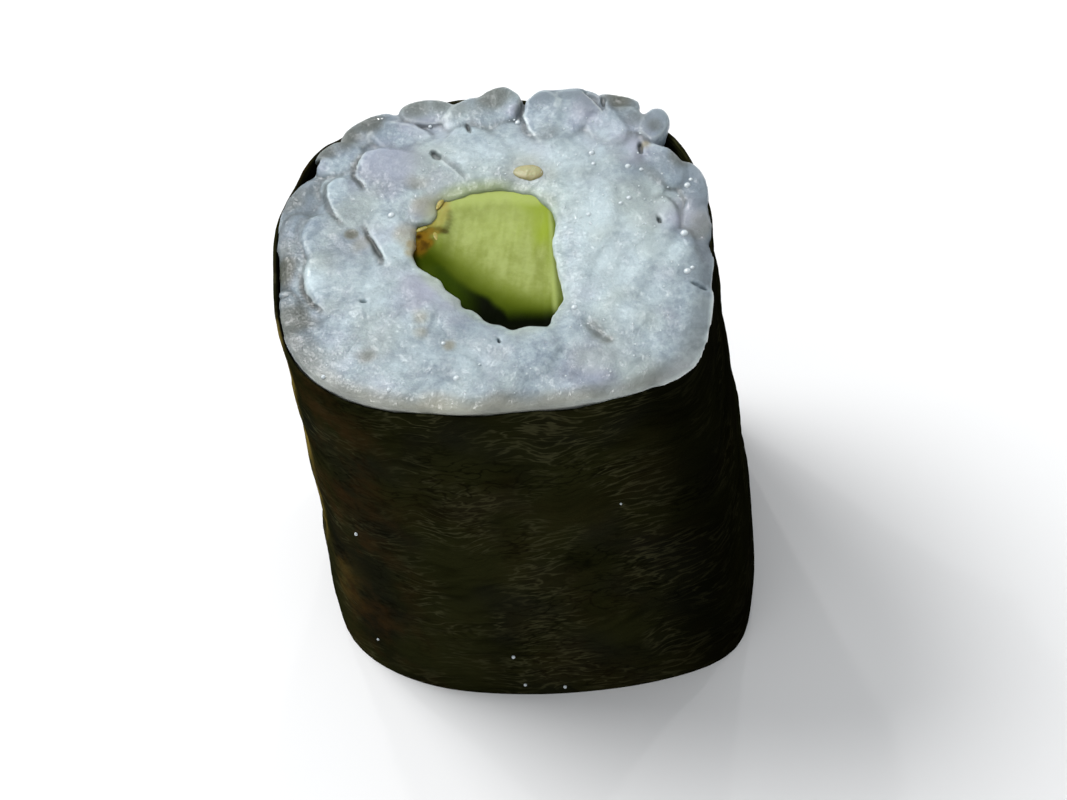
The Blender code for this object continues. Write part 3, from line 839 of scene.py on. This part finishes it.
def sesame_material():
    n = Nodes(
        "sesame", Roughness=0.4, Specular_IOR_Level=0.25, Subsurface_Weight=0.3,
        Subsurface_Scale=0.0003, Coat_Weight=0.15, Coat_Roughness=0.12,
    )
    tone, rim, _ = n.read("looks")
    speck = n.noise(1500, 3, 0.6)
    toasted = n.mix(n.span(speck, 0.3, 0.56), (0.34, 0.21, 0.06), (0.15, 0.068, 0.004))
    toasted = n.mix(n.span(n.noise(900), 0.56, 0.7), toasted, (0.03, 0.012, 0.001))
    toasted = n.mix(n.span(tone, 0.4, 0.85), (0.34, 0.29, 0.06), toasted)
    n.colour = n.mix(rim, (0.37, 0.355, 0.19), (0.26, 0.235, 0.11))
    n.cover(n.span(tone, 0, 0.4), toasted)
    return n.use(Normal=n.bump(speck, 0.0002, 0.8))


# ---- pieces


def ring_faces(rows, columns, closed=True):
    """Four-sided faces between rows of points that run round a ring, or across a sheet if not closed."""
    r, c = np.meshgrid(np.arange(rows - 1), np.arange(columns - (not closed)), indexing="ij")
    here = r * columns + c
    beside = r * columns + (c + 1) % columns
    return np.stack([here, beside, beside + columns, here + columns], axis=-1).reshape(-1, 4)


def make_rice():
    material = rice_material()
    points, faces, layers = grain_end(pack_grains(150, 4, LEADING_GRAINS), True, VOXEL_TOP, 20)
    make_piece("rice_top", points, faces, "rice", material, **layers)
    foot, faces, layers = grain_end(pack_grains(120, 9, []), False, VOXEL_FOOT, 40)
    make_piece("rice_foot", foot, faces, "rice", material, **layers)
    make_rice_core(material)
    make_beads(points)


def ring(middle, out, angle, height):
    """Points round an upright axis."""
    return join(middle[0] + out * np.cos(angle), middle[1] + out * np.sin(angle), height)


def make_rice_core(material):
    """The hidden middle of the rice, between its two ends."""
    columns = 180
    angle = turns(columns)
    heights = np.linspace(CAP_DEPTH + 0.02, CUT_HEIGHT - CAP_DEPTH - 0.02, 9)
    rows = [ring((0, 0), sheet_inside.radius(angle, z) - 0.05, angle, z) for z in heights]
    rows += [ring(STICK_MIDDLE, stick_side.radius(angle, z) + 0.06, angle, z) for z in heights[::-1]]
    faces = ring_faces(len(rows) + 1, columns) % (columns * len(rows))
    points = np.concatenate(rows)
    looks = np.tile((0.6, 0, 0), (len(points), 1))
    layers = {"looks": looks, "tints": 0 * looks, "tones": 0 * looks}
    make_piece("rice_core", points, faces, "rice", material, **layers)


# Specks of starch on the sheet's front: angle, height, radius
SPECKS = [
    (4.02, 16, 0.16), (4, 3.3, 0.12), (4.68, 4.7, 0.17), (4.71, 1.3, 0.15), (4.9, 0.9, 0.17),
    (5.3, 20.6, 0.1),
]

# Beads of starchy water on the cut: x, y, radius
BEADS = [
    (-6.9, 2.5, 0.26), (12.9, -2.3, 0.26), (13.2, -2, 0.16), (12.4, 5.2, 0.24), (12.6, 5.7, 0.16),
    (12.5, 0.9, 0.28), (5.9, 7.9, 0.22), (6.1, 6.9, 0.18), (8.4, 6.7, 0.22), (9.3, 6.5, 0.16),
    (8.7, 3.9, 0.2), (8.2, 3.4, 0.16), (6.2, 2.4, 0.18), (5.9, -5.2, 0.24), (-1, -11.1, 0.24),
    (-5.2, -12, 0.18), (-12.6, -11, 0.16), (-9.6, -10.8, 0.16), (-5.4, 10.9, 0.14), (0.6, 11, 0.2),
    (-2.2, -8.2, 0.16),
]


def make_beads(points):
    """The listed beads and smaller ones between them, each on the highest point of rice under it, and
    the specks on the sheet."""
    chance = np.random.default_rng(14)
    beads = [(x, y, 1.2 * radius) for x, y, radius in BEADS]
    while len(beads) < 130:
        x, y = chance.uniform(-13.5, 13.5, 2)
        wet = 0.25 + 0.75 * ease((x + y) / 12) + 0.35 * ease((-7 - y) / 3)
        inside = sheet_inside.radius(np.arctan2(y, x), NORI_EDGE) - 0.8 > math.hypot(x, y)
        if inside and stick_distance(x, y) > 0.5 and chance.uniform() < wet:
            beads.append((x, y, chance.uniform(0.04, 0.11)))
    around, along = 16, 9
    t = np.linspace(0, math.pi, along)[:, None]
    a = turns(around)
    ball = join(np.sin(t) * np.cos(a), np.sin(t) * np.sin(a), np.cos(t)).reshape(-1, 3)
    parts = []
    for x, y, radius in beads:
        near = points[np.hypot(points[:, 0] - x, points[:, 1] - y) < 0.2]
        if len(near):
            parts.append(ball * radius * (0.8, 0.8, 0.6) + (x, y, near[:, 2].max() - 0.2 * radius))
    angle, height, size = np.array(SPECKS).T
    out = sheet_inside.radius(angle, height) + SHEET_OUT + 0.2 * size
    out = out + sheet_relief((angle - LAP_START) * SHEET_RADIUS, height)[0] * ease(height / NORI_EDGE * 12)
    places = ring((0, 0), out, angle, height)
    parts += [ball * radius * 0.8 + place for place, radius in zip(places, size)]
    faces = [ring_faces(along, around)[:, ::-1] + k * len(ball) for k in range(len(parts))]
    material = bead_material()
    make_piece("starch_beads", np.concatenate(parts), np.concatenate(faces), "rice", material)


def noise_place(u, v):
    """The sheet laid askew in the noise's space, so that its lattice doesn't show."""
    return join(0.8 * u + 0.36 * v, 0.93 * v - 0.36 * u, 0.48 * u + 0.1 * v + 3.3)


def sheet_relief(along, up):
    """The wrinkles of the moist sheet: how far it stands out, how much painted light or shade its relief
    gets, and the places that two families of fine wrinkles are read at."""
    lean = 1.6 * np.sin(along / 11) + 1.5 * noise(along, up, 3, 8, 61)
    slanted = up + lean + 0.6 * noise(along, up, 5, 2.6, 62)
    lumps = noise(along, up, 0, 3.1, 63)
    broad = noise(along, up, 7, 8, 64)
    wrinkle = 1 - np.abs(noise(along / 5, slanted, 1, 0.62, 65)) * 2
    fine = noise(along / 4, slanted, 2, 0.33, 66)
    swing = up - 1.4 * noise(along, up, 6, 7, 69) + 0.5 * noise(along, up, 8, 2.2, 70)
    wrinkles = noise_place(along / 2.4, slanted / 0.55)
    creases = noise_place(along / 1.8, swing / 0.65 + 20)
    strength = 0.35 + 0.65 * ease(0.5 + 0.9 * noise(along, up, 4, 4.5, 68))
    out = 0.07 * lumps + 0.1 * broad + strength * (0.05 * wrinkle + 0.026 * fine)
    relief_shading = np.clip(0.5 + 0.2 * wrinkle * strength + 0.15 * fine * strength + 0.2 * lumps, 0, 1)
    return out, relief_shading, wrinkles, creases


def make_nori():
    """The sheet, wrapped once round the rice and on over its own edge, with its thickness."""
    travelled = np.linspace(0, FULL_TURN + LAP_ANGLE, SHEET_COLUMNS)
    turn, up = np.meshgrid(travelled, np.linspace(0, 1, SHEET_ROWS))
    angle = LAP_START + turn
    around = np.mod(angle, FULL_TURN)
    along = turn * SHEET_RADIUS
    notch = 0.12 * noise(along, 0, 0, 3, 71) + 0.05 * noise(along, 0, 0, 0.8, 72)
    droop = 0.7 * ease((turn - FULL_TURN - 0.3 * LAP_ANGLE) / (0.7 * LAP_ANGLE))
    height = up * (NORI_EDGE + ease(up * 2 - 1) * (notch + 0.35 * bell(around - 2.62, 0.14) - droop))
    climb = ease((turn - FULL_TURN + LAP_RAMP) / LAP_RAMP)
    bump = LAP_STEP * ease((np.mod(angle - LAP_START, FULL_TURN) - FULL_TURN + LAP_RAMP) / LAP_RAMP)
    inside = sheet_inside.radius(angle, height) - np.where(turn < FULL_TURN, bump, 0)
    out, relief_shading, wrinkles, creases = sheet_relief(along, height)
    outer = inside + SHEET_OUT + climb * LAP_STEP + out * ease(up * 12)
    sides = outer, outer - SHEET_THICKNESS
    points = [ring((0, 0), side, angle, height).reshape(-1, 3) for side in sides]
    index = np.arange(turn.size).reshape(turn.shape)
    border = np.concatenate([index[0, :-1], index[:-1, -1], index[-1, :0:-1], index[:0:-1, 0]])
    following = np.roll(border, -1)
    rim = join(border, border + turn.size, following + turn.size, following)
    front = ring_faces(SHEET_ROWS, SHEET_COLUMNS, closed=False)
    faces = np.concatenate([front, front[:, ::-1] + turn.size, rim])
    # left is 1 at the left and 0 at the right: it brings more brown patches to the left, and painted shade
    # to the right side
    left = 0.5 + 0.5 * ease((-np.cos(angle) - 0.25) / 0.5) - 0.5 * ease((np.cos(angle) - 0.45) / 0.4)
    # painted rim light down the left side, with a faint band of it further round
    from_rim_light = (around - RIM_LIGHT_ANGLE) * 15 + 0.5 * noise(height, 0, 0, 2.5, 73)
    rim_light = ease(1.2 - np.abs(from_rim_light) / 1.8) * ease((height - 7) / 6)
    rim_light = np.maximum(rim_light, 0.2 * bell(around - 3.85, 0.1) * bell(height - 9, 3.5))
    layers = {"looks": join(relief_shading, rim_light, left), "wrinkles": wrinkles, "creases": creases}
    layers = {name: np.tile(values.reshape(-1, 3), (2, 1)) for name, values in layers.items()}
    # the inside of the sheet gets no painted rim light, and left at 0.5 gives it no painted shade
    layers["looks"][turn.size :, 1:] = 0, 0.5
    make_piece("nori_sheet", np.concatenate(points), faces, "nori", nori_material(), **layers)


SKIN_LINE = ((-5.2, -0.7), (1.9, -6.6))  # the skin's edge, from the left corner to the front one


def skin_distance(x, y):
    """How far inside the skin's edge a point of the cut face lies."""
    (x0, y0), (x1, y1) = SKIN_LINE
    return ((x - x0) * (y0 - y1) + (y - y0) * (x1 - x0)) / math.hypot(x1 - x0, y1 - y0)


def make_cucumber():
    """The stick: a wet cut face with a skin side, walls and a foot."""
    columns, rings, walls, foot_rings = 240, 56, 20, 8
    angle = turns(columns)
    outline = stick_side.radius(angle, STICK_HIGH[2]) + 0.25 * ease((np.sin(angle) - 0.45) / 0.3)
    outline = outline + 0.75 * bell(angle - 2.64, 0.2) + 0.35 * bell(angle - 2.24, 0.14)
    share = 1 - (1 - np.arange(rings + 1) / rings) ** 1.3
    radius = outline * np.maximum(share, 0.002)[:, None]
    x, y, _ = ring(STICK_MIDDLE, radius, angle, 0).transpose(2, 0, 1)
    beside = ease((-2.4 - x) / 1.2) * ease((y + 1.2) / 1.4)
    behind = np.maximum(ease((y - 2.4) / 2), beside)
    z = STICK_HIGH[2] - 0.2 * (1 - behind) * np.exp(-(outline - radius) / 0.2)
    z = z + 0.3 * behind
    z = z - 0.3 * ease(1 - skin_distance(x, y) / 1.6) - 0.3 * ease((-4.2 - y) / 2.6)
    z = z + 0.1 * ease(1 - np.abs(x + 0.12 * y - 3.75) / 0.6)
    z = z - 0.2 * ease((x + 0.12 * y - 3.9) / 0.8)
    z = z + 0.05 * noise(x, y, 0, 1.8, 81) + 0.012 * noise(x / 0.3, y, 0, 1.4, 82)
    rows = list(join(x, y, z))
    edge = rows[-1]
    rows += [edge * (1, 1, 1 - row / walls) for row in range(1, walls + 1)]
    middle = np.append(STICK_MIDDLE, 0)
    for row in range(1, foot_rings + 1):
        rows.append(middle + (edge * (1, 1, 0) - middle) * max(1 - row / foot_rings, 0.002))
    points = np.concatenate(rows + [rows[0].mean(axis=0)[None], rows[-1].mean(axis=0)[None]])
    faces = ring_faces(len(rows), columns).tolist()
    last = len(rows) * columns
    for i in range(columns):
        following = (i + 1) % columns
        faces.append((last, following, i))
        faces.append((last + 1, last - columns + i, last - columns + following))
    make_piece("cucumber_stick", points, faces, "cucumber", cucumber_material(), **cucumber_layers(points))


# Where sesame has stained the cucumber's face: x, y, radius, strength, in brown, yellow and near black
BROWNS = [
    (-4.8, 0.45, 0.7, 1), (-4.3, 0.5, 0.5, 0.9), (-4.8, 1.3, 0.7, 0.95), (-5.3, 1.5, 0.6, 0.9),
    (-4.3, 1.6, 0.5, 0.85), (-3.75, 1.6, 0.36, 0.7), (-4.6, 2.2, 0.5, 0.5),
]
YELLOWS = [
    (-3.9, 4.1, 0.6, 0.95), (-3.7, 3.5, 0.5, 0.6), (-3.6, 2.8, 0.45, 0.5), (-3.75, 2.3, 0.36, 0.5),
    (-4.3, 2.25, 0.45, 0.6), (-5.35, 0.35, 0.25, 0.7),
]
BURNTS = [
    (-5, 1.05, 0.26, 1), (-5.25, 2.1, 0.3, 0.7), (-3.27, 1.55, 0.26, 0.75), (-3.2, 1.9, 0.22, 0.5),
    (-3.15, 2.25, 0.22, 0.42), (-3.13, 2.6, 0.2, 0.38), (-3.15, 2.95, 0.2, 0.32),
    (-3.18, 3.3, 0.2, 0.28), (-4.5, 0.25, 0.34, 0.35), (-5.3, -0.6, 0.3, 0.4),
]


def cucumber_layers(points):
    """How the flesh changes from the seeds' side to the skin: looks are paleness, skin and saturated
    green; tints are paler flesh with a painted highlight along the right edge, fibres and the deep shade
    by the front corner; tones are the sesame's stains."""
    x, y, z = points.T
    from_skin = skin_distance(x, y) + 0.15 * noise(x, y, 0, 1, 83)
    flesh = ease((from_skin - 0.55) / 2.8) * (1 - 0.85 * ease((-2.4 - y) / 3))
    skin = ease((1.05 - from_skin) / 0.5)
    skin = np.maximum(skin * (1 - 0.5 * ease(-3.2 - x)), ease((-4.3 - y) / 1.5))
    streak = 0.35 * noise(x / 0.25, y, 0, 1.5, 84)
    bright = ease((0.8 * x + 0.45 * y - 1.9) / 1.8 + streak) * ease((y + 2.5) / 2.5) * 0.95
    # painted highlight: a narrow pale strip along the right edge
    pale = ease(1 - np.abs(x + 0.13 * y - 3.95) / (0.32 + 0.1 * streak)) * 0.75
    pale = np.maximum(pale, 0.75 * ease((y - 3.2 + streak) / 1.2))
    shade = np.maximum(ease((1.15 - from_skin) / 0.6), ease((-4.6 - y) / 1.1))
    shade = shade * ease((x + 2.6) / 2.6) * ease((z - STICK_HIGH[2] + 2.1) / 0.5)
    fibre = 0.5 + 0.35 * noise(x / 0.2, y / 1.3, 0, 1, 85) + 0.3 * noise(x / 0.8, y / 2, 0, 1, 86)
    tones = join(*(blots(points, places) * (z > STICK_HIGH[2] - 1) for places in (BROWNS, YELLOWS, BURNTS)))
    pale = np.maximum(pale, 0.4 * ease(1.2 - np.hypot(x - 0.6, y - 2.6) / 3.2))
    return {"looks": join(flesh, skin, bright), "tints": join(pale, fibre, shade), "tones": tones}


# Sesame: x, y, height over the cut, heading in degrees, length, toasting
SEEDS = [
    (1.75, 6.3, -0.06, -8, 2.5, 0), (-4.88, 1.68, -0.37, 30, 0.95, 0.5),
    (-3.84, 1.05, -0.37, 110, 0.7, 0.5), (-3.9, 3.95, -0.36, 75, 1.1, 0.45),
]


def make_seeds():
    """Sesame seeds and flakes: flattened drops with a faint rim."""
    around, along = 28, 18
    t = np.linspace(0, math.pi, along)[:, None]
    a = turns(around)
    narrow = 1 - 0.28 * np.cos(t)
    points, faces, looks = [], [], []
    for number, (x, y, over, heading, length, toast) in enumerate(SEEDS):
        px = -np.cos(t) * length / 2
        py = np.sin(t) * np.cos(a) * narrow * length * 0.28 * (1 - 0.7 * toast)
        pz = np.sin(t) * np.sin(a) * narrow * (0.07 if toast else 0.12) * length
        shape = join(px, py, pz).reshape(-1, 3)
        edge = ease((np.hypot(shape[:, 0] / length * 2, shape[:, 1] / length * 3.5) - 0.55) / 0.35)
        lumps = 0.2 * toast * noise(shape[:, 0] + 9 * number, shape[:, 1], shape[:, 2], 0.4, 91)
        turn = np.array(Quaternion((0, 0, 1), math.radians(heading)).to_matrix())
        points.append(shape * (1 + lumps[:, None]) @ turn.T + (x, y, CUT_HEIGHT + over))
        faces.append(ring_faces(along, around) + number * around * along)
        looks.append(join(toast, edge, 0))
    points, faces, looks = (np.concatenate(part) for part in (points, faces, looks))
    make_piece("sesame_seeds", points, faces, "sesame", sesame_material(), looks=looks)


# ---- stage, light and camera

CAMERA_PLACE = (31.1, -120, 171.1)
CAMERA_PITCH = 49.5  # degrees below level, of the view that the piece stands left of the middle in
LOOK_AT = (0.8, 0, 15.2)
LENS = 97


def make_floor():
    points = np.array([(-1, -1, 0), (1, -1, 0), (1, 1, 0), (-1, 1, 0)]) * 1500
    mesh = make_mesh("floor", points, [(0, 1, 2, 3)])
    n = Nodes("floor", Roughness=0.7, Specular_IOR_Level=0.2)
    n.colour = n.mix(n.noise(6), (0.86, 0.86, 0.86), (0.89, 0.89, 0.89))
    mesh.materials.append(n.use())
    floor = bpy.data.objects.new("floor", mesh)
    bpy.context.scene.collection.objects.link(floor)


def place_object(data, place, turn):
    """Puts a light or camera in the scene."""
    holder = bpy.data.objects.new(data.name, data)
    holder.location = Vector(place) * MM
    holder.rotation_mode = "QUATERNION"
    holder.rotation_quaternion = turn
    bpy.context.scene.collection.objects.link(holder)
    return holder


# Lights: name, place, size, power
LIGHTS = [
    ("key", (-220, 120, 370), 240, 1.45),
    ("fill", (-200, -330, 300), 300, 0.1),
    ("sparkle_back", (-90, 200, 300), 12, 0.075),
    ("sparkle_low", (20, 260, 260), 12, 0.06),
    ("sparkle_left", (-190, 160, 300), 12, 0.06),
    ("sparkle_right", (120, 170, 330), 12, 0.06),
]
LIT_PLACE = (0, 0, 20)  # the point that every light faces


def make_lights():
    for name, place, size, power in LIGHTS:
        light = bpy.data.lights.new(name, "AREA")
        light.shape = "DISK"
        light.size = size * MM
        light.energy = power
        place_object(light, place, (Vector(LIT_PLACE) - Vector(place)).to_track_quat("-Z", "Y"))
    world = bpy.data.worlds.new("studio")
    bpy.context.scene.world = world
    world.use_nodes = True
    background = world.node_tree.nodes["Background"]
    background.inputs["Color"].default_value = (0.96, 0.98, 1, 1)
    background.inputs["Strength"].default_value = 0.56


def make_camera():
    """The camera stands where it stood for the piece, and turns to face it the shortest way, so that
    the piece keeps its lean."""
    camera = bpy.data.cameras.new("camera")
    camera.lens = LENS
    camera.clip_start = 0.01
    camera.clip_end = 10
    pitch = math.radians(CAMERA_PITCH)
    forward = Vector((0, math.cos(pitch), -math.sin(pitch)))
    level = Quaternion((1, 0, 0), math.pi / 2 - pitch)
    turn = forward.rotation_difference((Vector(LOOK_AT) - Vector(CAMERA_PLACE)).normalized())
    bpy.context.scene.camera = place_object(camera, CAMERA_PLACE, turn @ level)


make_nori()
make_rice()
make_cucumber()
make_seeds()
make_floor()
make_lights()
make_camera()
bpy.context.scene.view_settings.view_transform = "Standard"
